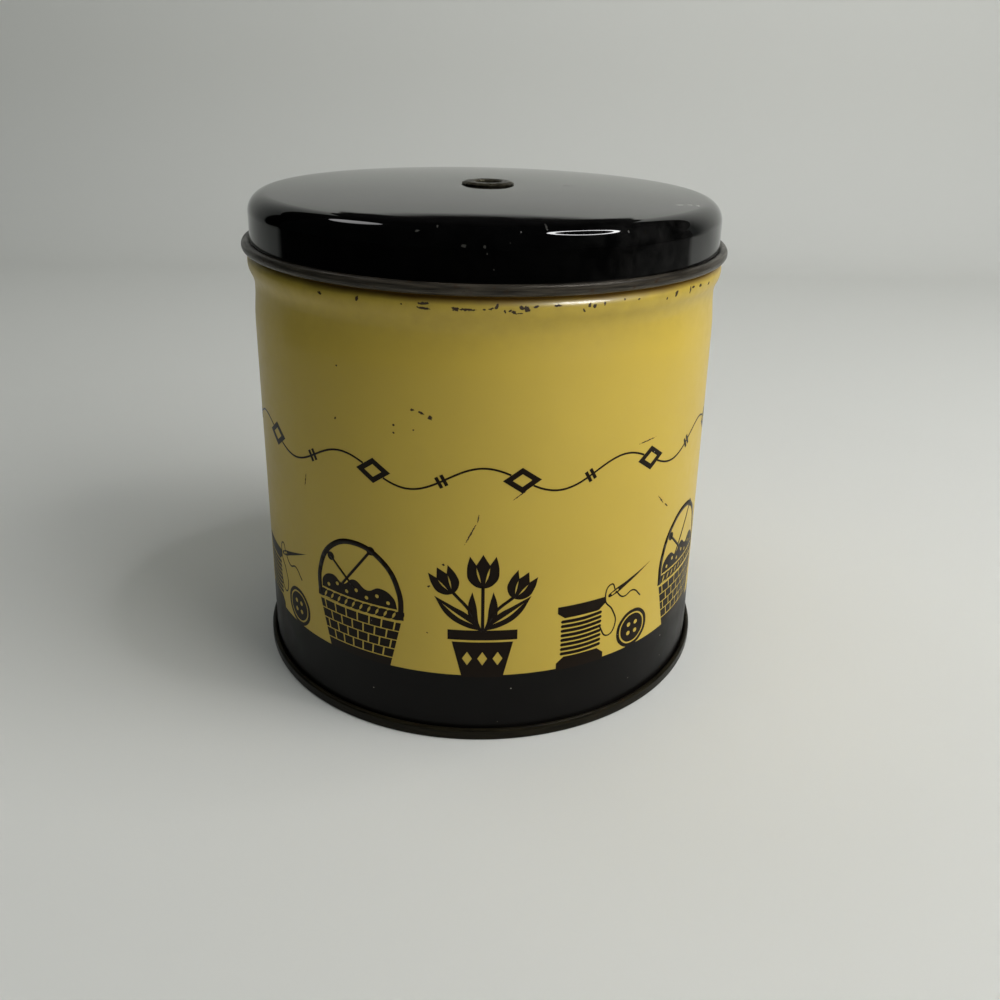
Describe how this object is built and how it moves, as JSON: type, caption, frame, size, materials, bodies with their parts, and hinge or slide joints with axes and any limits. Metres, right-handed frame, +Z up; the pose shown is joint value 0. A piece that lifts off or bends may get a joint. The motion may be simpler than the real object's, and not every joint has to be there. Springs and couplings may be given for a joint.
{
  "type": "yarn tin",
  "caption": "Round tin for a ball of yarn: straight body with a double-seamed base, and a lift-off slip lid with a metal eyelet that the yarn runs out through.",
  "frame": {"origin": "centre of the base, at the height where the bottom seam rests on the table", "axes": "+Z up along the tin's axis and out through the lid's eyelet, -Y towards the printed front, +Y towards the side seam"},
  "size_m": [0.127, 0.127, 0.1286],
  "materials": {
    "printed_tinplate": "satin",
    "black_tinplate": "gloss",
    "dark_tinplate": "satin",
    "eyelet_steel": "aged"
  },
  "bodies": {
    "tin": {"body": "printed_tinplate", "base_end": "dark_tinplate"},
    "lid_set": {"lid": "black_tinplate", "eyelet": "eyelet_steel", "eyelet_washer": "eyelet_steel"}
  },
  "joints": [
    {"name": "lid_lift", "type": "slide", "parent": "tin", "child": "lid_set", "axis": [0, 0, 1], "range_m": [0, 0.08]}
  ]
}
